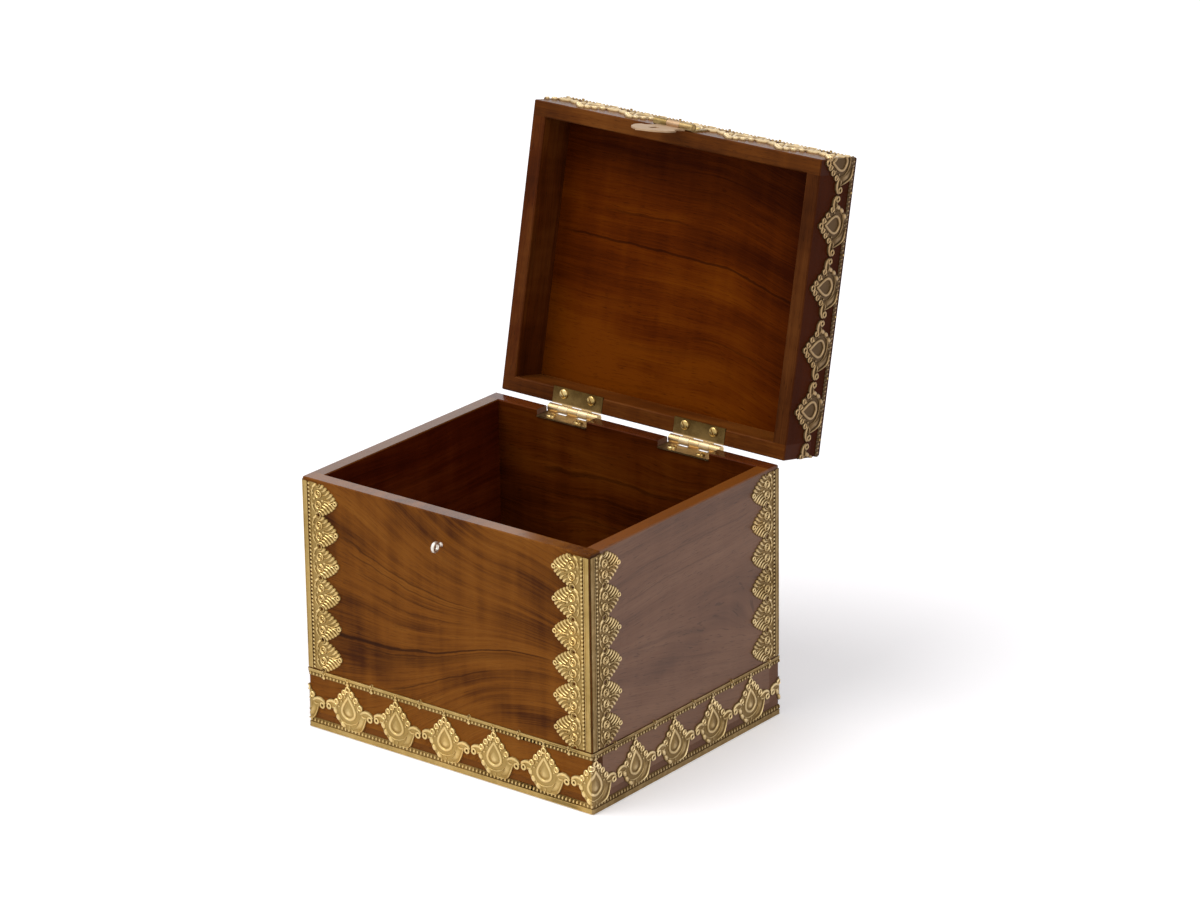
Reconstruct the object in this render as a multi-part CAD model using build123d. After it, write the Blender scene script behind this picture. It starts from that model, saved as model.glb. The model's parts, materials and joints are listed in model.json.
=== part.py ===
from build123d import *
import os
from math import cos, pi, sin

# A small hinged wooden box with stamped brass trim, modelled with its lid standing open.
# Millimetres. +X is the box's right, -Y its front, +Z up; the origin is the middle of the base.

# The wooden box
width = 180.0
depth = 151.0
body_height = 134.0
lid_height = 31.0
wall = 8.0
floor_thickness = 9.0
lid_panel_thickness = 9.0
edge_chamfer = 0.5
overrun = 1.0
lid_gap = 0.1
open_angle = 102.0

# The two butt hinges
hinge_length = 31.75
hinge_spacing = 77.5
hinge_shift = -1.75
hinge_leaf_width = 11.0
hinge_sheet = 0.8
hinge_barrel_radius = 2.25
hinge_knuckles = 5
hinge_axis_drop = 1.5
barrel_clearance = 0.1
knuckle_gap = 0.15
window_reach = 0.9
window_clearance = 0.1
gain_clearance = 0.2
pin_clearance = 0.05
hinge_screw_spacing = 17.8
hinge_screw_reach = 7.9

# Round-head wood screws of the hinges
screw_head_radius = 2.5
screw_head_height = 1.3
screw_shank_radius = 1.2
screw_length = 9.0
screw_point = 2.0
screw_tip_share = 0.45
screw_head_sides = 16
screw_shank_sides = 8
screw_clearance = 0.05

# The hasp, its two screws and its screw eye
hasp_centre = -1.5
hasp_width = 24.0
hasp_sheet = 0.8
hasp_barrel_radius = 2.0
hasp_knuckles = 3
hasp_axis_rise = 1.3
hasp_leaf_height = 12.5
hasp_leaf_corner = 1.5
hasp_neck_width = 17.4
hasp_neck_hollow = 1.0
hasp_shoulder_width = 21.6
hasp_shoulder_distance = 12.4
hasp_shoulder_step = 0.5
hasp_flank_width = 19.0
hasp_flank_rise = 10.5
hasp_flank_bulge = 1.0
hasp_cusp_width = 6.4
hasp_cusp_rise = 3.0
hasp_cusp_hollow = 0.4
hasp_plate_length = 32.5
hasp_plate_clearance = 0.15
hasp_slot_distance = 17.0
hasp_slot_length = 6.8
hasp_slot_width = 3.0
hasp_screw_spacing = 15.0
hasp_screw_rise = 8.0
hasp_screw_head_radius = 2.1
hasp_screw_head_height = 1.1
hasp_screw_shank_radius = 0.9
hasp_screw_length = 6.5
eye_radius = 3.0
eye_wire_radius = 0.75
eye_wire_sides = 6
eye_stand_off = 1.2
eye_shank_length = 6.0

# The stamped ribbon round the base and the lid
trim_sheet = 0.5
trim_pitch = 31.2
trim_phase = 1.8
trim_lift = 0.3
plain_band = 2.6
bead_band = 2.7
bud_top = 27.9
bud_half_width = 9.3
drop_bottom = 8.8
drop_top = 22.3
drop_half_width = 5.0
drop_fullness = 0.62
drop_corners = (0.12, 0.36, 0.65)
bud_foot_width = 13.0
bud_tip_width = 2.4
bud_overlap = 0.2
bud_lobes = 3
link_height = 13.0
link_radius = 2.4
rail_relief = 1.1
bud_relief = 1.4
lid_trim_inset = 2.0
hasp_notch_clearance = 0.6

# The palmette strips beside the upright corners
strip_gap = 1.0
strip_plain_band = 2.8
strip_bead_band = 2.0
strip_notch = 12.0
strip_tip = 22.0
strip_point = 1.0
strip_leaf_gap = 1.2
strip_end_clearance = 0.3
strip_relief = 1.1
palmette_count = 6
palmette_lobes = 3
lobe_bulge = 0.6

# Square brass pins that hold the trim
pin_side = 1.0
pin_length = 4.4
pin_rise = 0.2
pin_hole_clearance = 0.05
corner_clearance = 3.0

# Places and sizes worked out from those above
hinge_axis_y = depth / 2 + barrel_clearance + hinge_barrel_radius
hinge_axis_z = body_height - hinge_axis_drop
hinge_centres = [hinge_shift - hinge_spacing / 2, hinge_shift + hinge_spacing / 2]
hinge_pin_radius = hinge_barrel_radius - hinge_sheet - pin_clearance
hasp_pin_radius = hasp_barrel_radius - hasp_sheet - pin_clearance
hasp_axis_y = -depth / 2 - hasp_barrel_radius
hasp_axis_z = body_height + hasp_axis_rise
lid_rim = body_height + lid_gap
lid_top = body_height + lid_height
lid_panel_bottom = lid_top - lid_panel_thickness
band = plain_band + bead_band
trim_height = bud_top + band
strip_bottom = trim_lift + trim_height + strip_end_clearance
palmette_pitch = (body_height - edge_chamfer - strip_bottom) / palmette_count
strip_band = strip_plain_band + strip_bead_band

front_face = Plane(origin=(0, -depth / 2, 0), x_dir=(1, 0, 0), z_dir=(0, -1, 0))
right_face = Plane(origin=(width / 2, 0, 0), x_dir=(0, 1, 0), z_dir=(1, 0, 0))
left_face = Plane(origin=(-width / 2, 0, 0), x_dir=(0, -1, 0), z_dir=(-1, 0, 0))
# each trimmed face, the place of its middle along the ribbon from the front right corner, its length
trimmed_faces = [
    (front_face, -width / 2, width),
    (right_face, depth / 2, depth),
    (left_face, -width - depth / 2, depth),
]
# each palmette strip: its face, its plain edge from the middle of that face, and where its leaves point
strip_places = {
    "front_left_strip": (front_face, -width / 2 + strip_gap, 1),
    "front_right_strip": (front_face, width / 2 - strip_gap, -1),
    "left_front_strip": (left_face, depth / 2 - strip_gap, -1),
    "left_back_strip": (left_face, -depth / 2 + strip_gap, 1),
    "right_front_strip": (right_face, -depth / 2 + strip_gap, 1),
    "right_back_strip": (right_face, depth / 2 - strip_gap, -1),
}


def block(low, high):
    """A box between two opposite corners."""
    size = [b - a for a, b in zip(low, high)]
    middle = [(a + b) / 2 for a, b in zip(low, high)]
    return Pos(*middle) * Box(*size)


def along_x(radius, length):
    """A round bar on the X axis."""
    return Rot(0, 90, 0) * Cylinder(radius, length)


def drilled(piece, holes):
    """Cut those holes that reach this piece."""
    box = piece.bounding_box()
    reaching = [hole for hole in holes if hole.bounding_box().overlaps(box)]
    return piece - reaching if reaching else piece


def opened(shape):
    """Turn a piece of the closed lid about the hinge axis, to where it stands open."""
    return shape.rotate(Axis((0, hinge_axis_y, hinge_axis_z), (1, 0, 0)), -open_angle)


# Wooden boards: the front and back run the full width, with the sides glued between them.
def four_boards(bottom, top, rim):
    """Front, back, left and right boards, eased at the upright corners and round the rim."""
    outline = Rectangle(width, depth) - Rectangle(width - 2 * wall, depth - 2 * wall)
    ring = Pos(0, 0, bottom) * extrude(outline, top - bottom)
    upright = ring.edges().filter_by(Axis.Z)
    ring = chamfer(upright.filter_by(lambda edge: abs(edge.center().X) > width / 2 - wall / 2), edge_chamfer)
    rim_edges = ring.edges().filter_by(lambda edge: abs(edge.center().Z - rim) < edge_chamfer / 10)
    ring = chamfer(rim_edges, edge_chamfer)
    inner = depth / 2 - wall
    return {
        "front_board": ring & block((-width, -depth, bottom), (width, -inner, top)),
        "back_board": ring & block((-width, inner, bottom), (width, depth, top)),
        "left_board": ring & block((-width, -inner, bottom), (0, inner, top)),
        "right_board": ring & block((0, -inner, bottom), (width, inner, top)),
    }


def flat_board(bottom, thickness, outside):
    """A floor or lid panel over the full outline, eased round its outside face at this height."""
    board = Pos(0, 0, bottom + thickness / 2) * Box(width, depth, thickness)
    board = chamfer(board.edges().filter_by(Axis.Z), edge_chamfer)
    outer_edges = board.edges().filter_by(lambda edge: abs(edge.center().Z - outside) < edge_chamfer / 10)
    return chamfer(outer_edges, edge_chamfer)


def hinge_gains(low, high):
    """The recesses for the hinge leaves across a back board."""
    half = hinge_length / 2 + gain_clearance
    return [block((x - half, depth / 2 - 2 * wall, low), (x + half, depth, high)) for x in hinge_centres]


# Screws and the holes they are driven into
def prism(radius, sides, height):
    """A bar with this many sides that stands on Z = 0, or hangs from it when the height is negative."""
    return extrude(RegularPolygon(radius, sides), height)


def screw(head_radius, head_height, shank_radius, length):
    """A wood screw driven along -Z, with its head standing on Z = 0."""
    shank = prism(shank_radius, screw_shank_sides, -length)
    end = shank.faces().sort_by(Axis.Z)[0]
    flat = shank_radius * cos(pi / screw_shank_sides)
    shank = chamfer(end.edges(), flat * (1 - screw_tip_share), screw_point, reference=end)
    return shank + prism(head_radius, screw_head_sides, head_height)


def pilot_hole(shank_radius, length):
    """The hole for a screw's shank, below Z = 0."""
    return prism(shank_radius + screw_clearance, screw_shank_sides, -length - screw_clearance)


def hinge_screws(side):
    """Where the four screws of one side of the hinges stand: side is -1 in the body, 1 in the lid."""
    face = side * (hinge_barrel_radius - hinge_sheet)
    flip = Rot(180, 0, 0) if side > 0 else Rot(0, 0, 0)
    return [
        Pos(x + half * hinge_screw_spacing / 2, hinge_axis_y - hinge_screw_reach, hinge_axis_z + face) * flip
        for x in hinge_centres
        for half in (-1, 1)
    ]


def hasp_screws():
    """Where the two screws of the hasp's fixed leaf stand on its face."""
    face = Pos(hasp_centre, -depth / 2 - hasp_sheet, hasp_axis_z + hasp_screw_rise) * Rot(90, 0, 0)
    across = hasp_screw_spacing / 2
    return [face * Pos(x, 0, 0) for x in (-across, across)]


# Pressed hinges: the edge of each sheet leaf is rolled into knuckles round the pin.
def knuckle_room(length, knuckles, own, reach):
    """The room for the other leaf's knuckles on the X axis, open to the side at the ends."""
    knuckle = length / knuckles
    room = []
    for place in range(knuckles):
        if place not in own:
            low = place * knuckle - length / 2
            high = low + knuckle
            low -= knuckle_gap / 2 if place > 0 else length
            high += knuckle_gap / 2 if place < knuckles - 1 else length
            room.append(block((low, -reach, -reach), (high, reach, reach)))
    return room


def rolled_leaf(length, reach, sheet, barrel_radius, knuckles, own, window):
    """A leaf below the X axis that reaches along -Y, its windows cut this far past its own knuckles."""
    leaf = block((-length / 2, -reach, -barrel_radius), (length / 2, 0, sheet - barrel_radius))
    leaf += along_x(barrel_radius, length)
    bore = along_x(barrel_radius - sheet, 2 * length)
    return leaf - [bore] - knuckle_room(length, knuckles, own, barrel_radius + window)


def hinge_leaf(own, window):
    """One butt hinge leaf with its two screw holes, round its own axis."""
    leaf = rolled_leaf(
        hinge_length, hinge_leaf_width, hinge_sheet, hinge_barrel_radius, hinge_knuckles, own, window
    )
    face = Pos(0, -hinge_screw_reach, hinge_sheet - hinge_barrel_radius)
    hole = face * pilot_hole(screw_shank_radius, 2 * hinge_sheet)
    across = hinge_screw_spacing / 2
    return leaf - [Pos(x, 0, 0) * hole for x in (-across, across)]


def at_hinges(name, piece):
    """A copy of a piece at each hinge, named after its side."""
    return {
        f"{side}_{name}": Pos(x, hinge_axis_y, hinge_axis_z) * piece
        for side, x in zip(("left", "right"), hinge_centres)
    }


# The hasp: a fixed leaf on the lid's front, and a shaped plate that swings below it.
def at_hasp(piece):
    """Put a piece of the hasp on its axis across the front of the closed lid."""
    return Pos(hasp_centre, hasp_axis_y, hasp_axis_z) * piece


def hasp_outline():
    """The plate's outline below its axis: waisted neck, stepped shoulders, full flanks and a cusp."""
    window = (hasp_neck_width / 2, -hasp_barrel_radius - window_reach)
    step = (hasp_neck_width / 2, -hasp_shoulder_distance)
    shoulder = (hasp_shoulder_width / 2, -hasp_shoulder_distance - hasp_shoulder_step)
    flank = (hasp_flank_width / 2, hasp_flank_rise - hasp_plate_length)
    cusp = (hasp_cusp_width / 2, hasp_cusp_rise - hasp_plate_length)
    tip = (0, -hasp_plate_length)
    half = make_face([
        Polyline(tip, (0, 0), (hasp_neck_width / 2, 0), window),
        SagittaArc(window, step, -hasp_neck_hollow),
        Line(step, shoulder),
        SagittaArc(shoulder, flank, hasp_flank_bulge),
        SagittaArc(flank, cusp, hasp_flank_bulge),
        SagittaArc(cusp, tip, -hasp_cusp_hollow),
    ])
    slot = Pos(0, -hasp_slot_distance) * Rectangle(hasp_slot_width, hasp_slot_length)
    return half + mirror(half, about=Plane.YZ) - slot


def hasp_plate():
    """The swinging plate as it hangs closed, with the middle knuckles."""
    back = hasp_barrel_radius - hasp_plate_clearance
    upright = Plane(origin=(0, back, 0), x_dir=(1, 0, 0), z_dir=(0, -1, 0))
    own = range(1, hasp_knuckles, 2)
    plate = extrude(upright * hasp_outline(), hasp_sheet) + along_x(hasp_barrel_radius, hasp_width)
    plate -= [along_x(hasp_barrel_radius - hasp_sheet, 2 * hasp_width)]
    return plate - knuckle_room(hasp_width, hasp_knuckles, own, hasp_barrel_radius + window_reach)


def hasp_leaf():
    """The leaf screwed to the lid's front above the axis, with the outer knuckles."""
    own = range(0, hasp_knuckles, 2)
    leaf = rolled_leaf(
        hasp_width, hasp_leaf_height, hasp_sheet, hasp_barrel_radius, hasp_knuckles, own, window_reach
    )
    leaf = fillet(leaf.edges().filter_by(Axis.Z).group_by(Axis.Y)[0], hasp_leaf_corner)
    face = Pos(0, -hasp_screw_rise, hasp_sheet - hasp_barrel_radius)
    hole = face * pilot_hole(hasp_screw_shank_radius, 2 * hasp_sheet)
    across = hasp_screw_spacing / 2
    leaf -= [Pos(x, 0, 0) * hole for x in (-across, across)]
    return Rot(0, 180, 0) * Rot(90, 0, 0) * leaf


def eye_place():
    """The point of the front that the screw eye enters, level with the closed plate's slot."""
    return Pos(hasp_centre, -depth / 2, hasp_axis_z - hasp_slot_distance)


def screw_eye():
    """A wire ring on a shank, standing in the upright plane that the plate's slot passes over."""
    middle = eye_radius - eye_wire_radius
    ring = revolve(Pos(middle, 0) * RegularPolygon(eye_wire_radius, eye_wire_sides), Axis.Y)
    ring = Pos(0, -eye_stand_off - eye_radius, 0) * Rot(0, 0, 90) * ring
    end = Pos(0, -eye_stand_off - eye_wire_radius, 0) * Rot(-90, 0, 0)
    rod = end * prism(eye_wire_radius, eye_wire_sides, eye_stand_off + eye_wire_radius + eye_shank_length)
    return eye_place() * (ring + rod)


def eye_hole():
    """The hole that the screw eye's shank fills."""
    hole = prism(eye_wire_radius + screw_clearance, eye_wire_sides, eye_shank_length + screw_clearance)
    return eye_place() * Rot(-90, 0, 0) * hole


# The stamped ribbon: lotus buds on a beaded rail, joined by scrolled links.
def lobes(start, end, count, bulge):
    """Points of a row of lobes that stand out to the right of the way from start to end."""
    run = Vector(*end) - Vector(*start)
    out = Vector(run.Y, -run.X).normalized() * bulge
    points = [start]
    for lobe in range(count):
        crest = Vector(*start) + run * ((lobe + 0.5) / count) + out
        notch = Vector(*start) + run * ((lobe + 1) / count)
        points += [(crest.X, crest.Y), (notch.X, notch.Y)]
    return points


def from_half(half):
    """Close a half outline, listed upward on the right, with its mirror image."""
    left = [(-x, y) for x, y in reversed(half) if x > 0]
    return make_face(Polyline(*half, *left, close=True))


def bud():
    """A lotus bud with half of the link on each side, between the bottom rail and the top one."""
    eighth = pi / 4
    link_x = trim_pitch / 2 - link_radius * cos(eighth) + bud_overlap
    turns = [-3 * eighth, -eighth, eighth, 3 * eighth]
    link = [(link_x + link_radius * cos(turn), link_height + link_radius * sin(turn)) for turn in turns]
    waist = (bud_half_width, link_height - link_radius)
    shoulder = (bud_half_width, link_height + link_radius + bud_overlap)
    neck = (bud_tip_width / 2, bud_top - bud_tip_width)
    foot = plain_band + bead_band / 2
    half = [(0, foot), (bud_foot_width / 2, foot), waist]
    half += link
    half += lobes(shoulder, neck, bud_lobes, lobe_bulge)
    half += [(bud_tip_width / 2, bud_top + bud_overlap), (0, bud_top + bud_overlap)]
    return from_half(half)


def drop():
    """The raised drop in the middle of a bud, point up and widest below its middle."""
    rise = drop_top - drop_bottom
    half = [(0, drop_bottom)]
    for share in drop_corners:
        half.append((drop_half_width * sin(pi * share ** drop_fullness), drop_bottom + rise * share))
    return from_half(half + [(0, drop_top)])


def bud_centres(middle, reach):
    """Where the buds lie on a face whose middle is this far along the ribbon."""
    first = round((middle - reach - trim_phase) / trim_pitch) - 1
    last = round((middle + reach - trim_phase) / trim_pitch) + 1
    return [trim_phase + place * trim_pitch - middle for place in range(first, last + 1)]


def ribbon_panel(face, middle, length, fold, with_top_rail):
    """The ribbon on one face of the box, running past its ends by the fold."""
    half = length / 2 + fold
    bands = [(0, band), (bud_top, trim_height)] if with_top_rail else [(plain_band, band)]
    lowest = bands[0][0]
    rails = [Pos(0, (low + high) / 2) * Rectangle(2 * half, high - low) for low, high in bands]
    window = Pos(0, (lowest + trim_height) / 2) * Rectangle(2 * half, trim_height - lowest)
    centres = bud_centres(middle, half)
    sheet = (rails[0] + rails[1:] + [Pos(centre, 0) * bud() for centre in centres]) & window
    drops = [(Pos(centre, 0) * drop()) & window for centre in centres if abs(centre) < half]
    raised = [extrude(face * rail, rail_relief) for rail in rails]
    raised += [extrude(face * outline, bud_relief) for outline in drops]
    return extrude(face * sheet, trim_sheet) + raised


def ribbon(with_top_rail):
    """The ribbon bent round the front, right and left, with its foot on Z = 0."""
    front, right, left = trimmed_faces
    return ribbon_panel(*front, rail_relief, with_top_rail) + [
        ribbon_panel(*right, 0, with_top_rail),
        ribbon_panel(*left, 0, with_top_rail),
    ]


def strip(hand):
    """A palmette strip with its plain edge on X = 0, its leaves pointing along X times hand."""
    length = palmette_pitch * palmette_count
    half_gap = strip_leaf_gap / 2
    shoulder = strip_tip - strip_point
    points = [(0, 0), (strip_notch, 0)]
    for leaf in range(palmette_count):
        low = leaf * palmette_pitch + half_gap
        high = (leaf + 1) * palmette_pitch - half_gap
        tip = (low + high) / 2
        points += lobes((strip_notch, low), (shoulder, tip - strip_point), palmette_lobes, lobe_bulge)
        points.append((strip_tip, tip))
        points += lobes((shoulder, tip + strip_point), (strip_notch, high), palmette_lobes, lobe_bulge)
    sheet = make_face(Polyline(*points, (strip_notch, length), (0, length), close=True))
    edge = Pos(strip_band / 2, length / 2) * Rectangle(strip_band, length)
    solid = extrude(sheet, trim_sheet) + extrude(edge, strip_relief)
    return solid if hand > 0 else mirror(solid, about=Plane.YZ)


# The pins that hold the trim, and their holes
def trim_pin():
    """A square pin driven along -Z, its top standing a little above Z = 0."""
    return Pos(0, 0, pin_rise - pin_length / 2) * Box(pin_side, pin_side, pin_length)


def pin_holes(places):
    """The holes for these pins, down from the face of the trim."""
    side = pin_side + 2 * pin_hole_clearance
    deep = pin_length - pin_rise + pin_hole_clearance
    return [place * Pos(0, 0, -deep / 2) * Box(side, side, deep) for place in places]


def ribbon_pins(height):
    """Where the pins of a ribbon go: at this height, midway between buds and clear of the corners."""
    return [
        face * Pos(centre + trim_pitch / 2, height, rail_relief)
        for face, middle, length in trimmed_faces
        for centre in bud_centres(middle, length / 2)
        if abs(centre + trim_pitch / 2) < length / 2 - corner_clearance
    ]


def strip_pins():
    """Where the pins of the palmette strips go: in every second gap between leaves, beside the beads."""
    between = (strip_band + strip_notch) / 2
    return [
        face * Pos(edge + hand * between, strip_bottom + leaf * palmette_pitch, trim_sheet)
        for face, edge, hand in strip_places.values()
        for leaf in range(1, palmette_count, 2)
    ]


def group(piece, places):
    """Copies of one fastener, kept together as separate solids."""
    return Compound([place * piece for place in places])


def body():
    """The body with its trim, its screw eye and the hinges' lower leaves and pins."""
    rail_pins = ribbon_pins(trim_lift + trim_height - plain_band / 2)
    edge_pins = strip_pins()
    rail_holes = pin_holes(rail_pins)
    edge_holes = pin_holes(edge_pins)
    leaf_screws = hinge_screws(-1)

    boards = four_boards(floor_thickness, body_height, body_height)
    boards["floor_board"] = flat_board(0, floor_thickness, 0)
    gains = hinge_gains(hinge_axis_z - hinge_barrel_radius, body_height + overrun)
    pilots = [place * pilot_hole(screw_shank_radius, screw_length) for place in leaf_screws]
    holes = rail_holes + edge_holes + gains + pilots + [eye_hole()]
    nodes = {name: drilled(board, holes) for name, board in boards.items()}

    nodes["base_ribbon"] = drilled(Pos(0, 0, trim_lift) * ribbon(True), rail_holes)
    for name, (face, edge, hand) in strip_places.items():
        nodes[name] = drilled(face * Pos(edge, strip_bottom) * strip(hand), edge_holes)
    nodes["base_ribbon_tacks"] = group(trim_pin(), rail_pins)
    nodes["corner_strip_tacks"] = group(trim_pin(), edge_pins)

    nodes |= at_hinges("hinge_body_leaf", hinge_leaf(range(0, hinge_knuckles, 2), window_reach))
    nodes |= at_hinges("hinge_pin", along_x(hinge_pin_radius, hinge_length))
    leaf_screw = screw(screw_head_radius, screw_head_height, screw_shank_radius, screw_length)
    nodes["body_leaf_screws"] = group(leaf_screw, leaf_screws)
    nodes["screw_eye"] = screw_eye()
    return nodes


def lid():
    """The closed lid with its trim, the hinges' upper leaves and the hasp."""
    # the ribbon hangs head down from its rail, cut away round the hasp's leaf
    foot = Pos(0, 0, lid_top - lid_trim_inset + plain_band)
    rail_pins = ribbon_pins(lid_top - lid_trim_inset - bead_band / 2)
    rail_holes = pin_holes(rail_pins)
    leaf_screws = hinge_screws(1)
    notch_half = hasp_width / 2 + hasp_notch_clearance
    notch_top = hasp_axis_z + hasp_leaf_height + hasp_notch_clearance
    notch = block(
        (hasp_centre - notch_half, -depth, body_height),
        (hasp_centre + notch_half, 0, notch_top),
    )

    boards = four_boards(lid_rim, lid_panel_bottom, lid_rim)
    boards["top_panel"] = flat_board(lid_panel_bottom, lid_panel_thickness, lid_top)
    gains = hinge_gains(body_height - overrun, hinge_axis_z + hinge_barrel_radius)
    pilots = [place * pilot_hole(screw_shank_radius, screw_length) for place in leaf_screws]
    pilots += [place * pilot_hole(hasp_screw_shank_radius, hasp_screw_length) for place in hasp_screws()]
    holes = rail_holes + gains + pilots
    nodes = {f"lid_{name}": drilled(board, holes) for name, board in boards.items()}

    trim = foot * mirror(ribbon(False), about=Plane.XY) - notch
    nodes["lid_ribbon"] = drilled(trim, rail_holes)
    nodes["lid_ribbon_tacks"] = group(trim_pin(), rail_pins)

    upper_leaf = hinge_leaf(range(1, hinge_knuckles, 2), window_clearance)
    nodes |= at_hinges("hinge_lid_leaf", Rot(0, 180, 0) * upper_leaf)
    leaf_screw = screw(screw_head_radius, screw_head_height, screw_shank_radius, screw_length)
    nodes["lid_leaf_screws"] = group(leaf_screw, leaf_screws)

    nodes["hasp_leaf"] = at_hasp(hasp_leaf())
    nodes["hasp_pin"] = at_hasp(along_x(hasp_pin_radius, hasp_width))
    nodes["hasp_plate"] = at_hasp(hasp_plate())
    hasp_screw = screw(
        hasp_screw_head_radius, hasp_screw_head_height, hasp_screw_shank_radius, hasp_screw_length
    )
    nodes["hasp_screws"] = group(hasp_screw, hasp_screws())
    return nodes


nodes = body() | {name: opened(piece) for name, piece in lid().items()}
os.makedirs("parts", exist_ok=True)
for name, shape in nodes.items():
    export_step(shape, f"parts/{name}.step")
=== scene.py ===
import bmesh
import bpy
import json
import math
from mathutils import Matrix, Vector


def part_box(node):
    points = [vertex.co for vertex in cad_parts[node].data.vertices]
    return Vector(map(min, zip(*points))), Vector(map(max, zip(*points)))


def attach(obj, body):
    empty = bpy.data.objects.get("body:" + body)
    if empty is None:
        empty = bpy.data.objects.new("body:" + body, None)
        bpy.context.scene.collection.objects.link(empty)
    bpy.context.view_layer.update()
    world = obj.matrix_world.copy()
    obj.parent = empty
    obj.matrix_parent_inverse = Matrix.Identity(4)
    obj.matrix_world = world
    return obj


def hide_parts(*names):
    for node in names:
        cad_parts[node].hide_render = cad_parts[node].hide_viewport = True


# A small hinged wooden box with stamped brass trim. The frame is in metres; trim is drawn in millimetres.
mm = 0.001
quarter = math.pi / 2
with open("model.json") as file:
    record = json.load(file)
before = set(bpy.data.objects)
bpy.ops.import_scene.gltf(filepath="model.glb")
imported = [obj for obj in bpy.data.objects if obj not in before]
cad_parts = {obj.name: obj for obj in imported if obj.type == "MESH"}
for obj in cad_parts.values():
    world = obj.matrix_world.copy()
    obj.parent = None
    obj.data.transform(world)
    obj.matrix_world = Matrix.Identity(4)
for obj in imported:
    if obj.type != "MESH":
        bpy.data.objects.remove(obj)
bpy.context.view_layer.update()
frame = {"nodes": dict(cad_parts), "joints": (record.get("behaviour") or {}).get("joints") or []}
print("frame loaded")

floorLow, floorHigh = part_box("floor_board")
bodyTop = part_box("front_board")[1][2]
width = floorHigh[0] - floorLow[0]
depth = floorHigh[1] - floorLow[1]
lidJoint = next(joint for joint in frame["joints"] if joint["name"] == "lid_hinge")
hinge = Vector(lidJoint["pos_m"])
openAngle = math.radians(lidJoint["range_deg"][1])
opened = Matrix.Translation(hinge) @ Matrix.Rotation(-openAngle, 4, "X") @ Matrix.Translation(-hinge)


# Node trees: a term is one output socket, and Python arithmetic on terms adds the Math nodes.
class Term:
    def __init__(self, graph, socket):
        self.graph = graph
        self.socket = socket

    def math(self, operation, other, turned=False):
        pair = (other, self) if turned else (self, other)
        return self.graph.add("ShaderNodeMath", {"operation": operation}, pair)

    def __add__(self, other):
        return self.math("ADD", other)

    def __sub__(self, other):
        return self.math("SUBTRACT", other)

    def __rsub__(self, other):
        return self.math("SUBTRACT", other, True)

    def __mul__(self, other):
        return self.math("MULTIPLY", other)

    def __truediv__(self, other):
        return self.math("DIVIDE", other)

    __radd__ = __add__

    def rise(self, low, high):
        # 0 below low, 1 above high, smooth between them
        return self.graph.add("ShaderNodeMapRange", {"interpolation_type": "SMOOTHSTEP"}, {
            "Value": self, "From Min": low, "From Max": high,
        })

    def unary(self, operation):
        return self.graph.add("ShaderNodeMath", {"operation": operation}, [self])

    def output(self, name):
        return Term(self.graph, self.graph.find(self.socket.node.outputs, name))


class Graph:
    def __init__(self, tree):
        self.tree = tree

    def find(self, sockets, name):
        if isinstance(name, int):
            return sockets[name]
        return next(one for one in sockets if one.enabled and one.name == name)

    def add(self, kind, settings=(), values=(), output=0):
        node = self.tree.nodes.new(kind)
        for name, value in dict(settings).items():
            if name == "stops":
                self.setStops(node.color_ramp, value)
            else:
                setattr(node, name, value)
        self.dress(node, values)
        return Term(self, self.find(node.outputs, output))

    def dress(self, node, values):
        named = values.items() if isinstance(values, dict) else enumerate(values)
        for name, value in named:
            socket = self.find(node.inputs, name)
            if isinstance(value, Term):
                self.tree.links.new(value.socket, socket)
            else:
                socket.default_value = (*value, 1) if socket.type == "RGBA" else value

    def setStops(self, ramp, stops):
        while len(ramp.elements) < len(stops):
            ramp.elements.new(1)
        for element, (place, colour) in zip(ramp.elements, stops):
            element.position = place
            element.color = (*colour, 1)

    def ramp(self, share, stops):
        return self.add("ShaderNodeValToRGB", {"stops": stops}, [share])

    def mix(self, share, low, high, blend="MIX"):
        settings = {"data_type": "RGBA", "blend_type": blend}
        return self.add("ShaderNodeMix", settings, {"Factor": share, "A": low, "B": high}, "Result")

    def tinted(self, colour, tint):
        return self.mix(1.0, colour, tint, "MULTIPLY")

    def noise(self, vector, lengths, detail, roughness=0.5):
        # a noise whose features have these lengths in the units of the vector
        lengths = (lengths,) * 3 if isinstance(lengths, float) else lengths
        shrunk = self.add("ShaderNodeVectorMath", {"operation": "DIVIDE"}, [vector, lengths])
        return self.add("ShaderNodeTexNoise", (), {
            "Vector": shrunk, "Scale": 1.0, "Detail": detail, "Roughness": roughness,
        }, "Fac")

    def facing(self, direction, low, high):
        # 1 where the surface looks this way
        normal = self.add("ShaderNodeTexCoord", output="Normal")
        share = self.add("ShaderNodeVectorMath", {"operation": "DOT_PRODUCT"}, [normal, direction], "Value")
        return share.rise(low, high)

    def bump(self, height, strength, distance):
        return self.add("ShaderNodeBump", (), {"Height": height, "Strength": strength, "Distance": distance})

    def seen(self):
        # 1 for what the camera sees, also in a reflection or through glass
        rays = self.add("ShaderNodeLightPath", output="Is Camera Ray")
        return rays + rays.output("Is Glossy Ray") + rays.output("Is Transmission Ray")


def show(thing):
    bpy.context.scene.collection.objects.link(thing)
    return thing


# Flat shapes of the stamped brass, in millimetres: x along the trim, y across it, z out of the wood
def circle(centre, radius, steps, stretch=1.0, turn=0.0):
    points = []
    for step in range(steps):
        angle = 2 * math.pi * step / steps
        spot = Vector((radius * stretch * math.cos(angle), radius * math.sin(angle)))
        spot.rotate(Matrix.Rotation(turn, 2))
        points.append((centre[0] + spot.x, centre[1] + spot.y))
    return points


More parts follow.
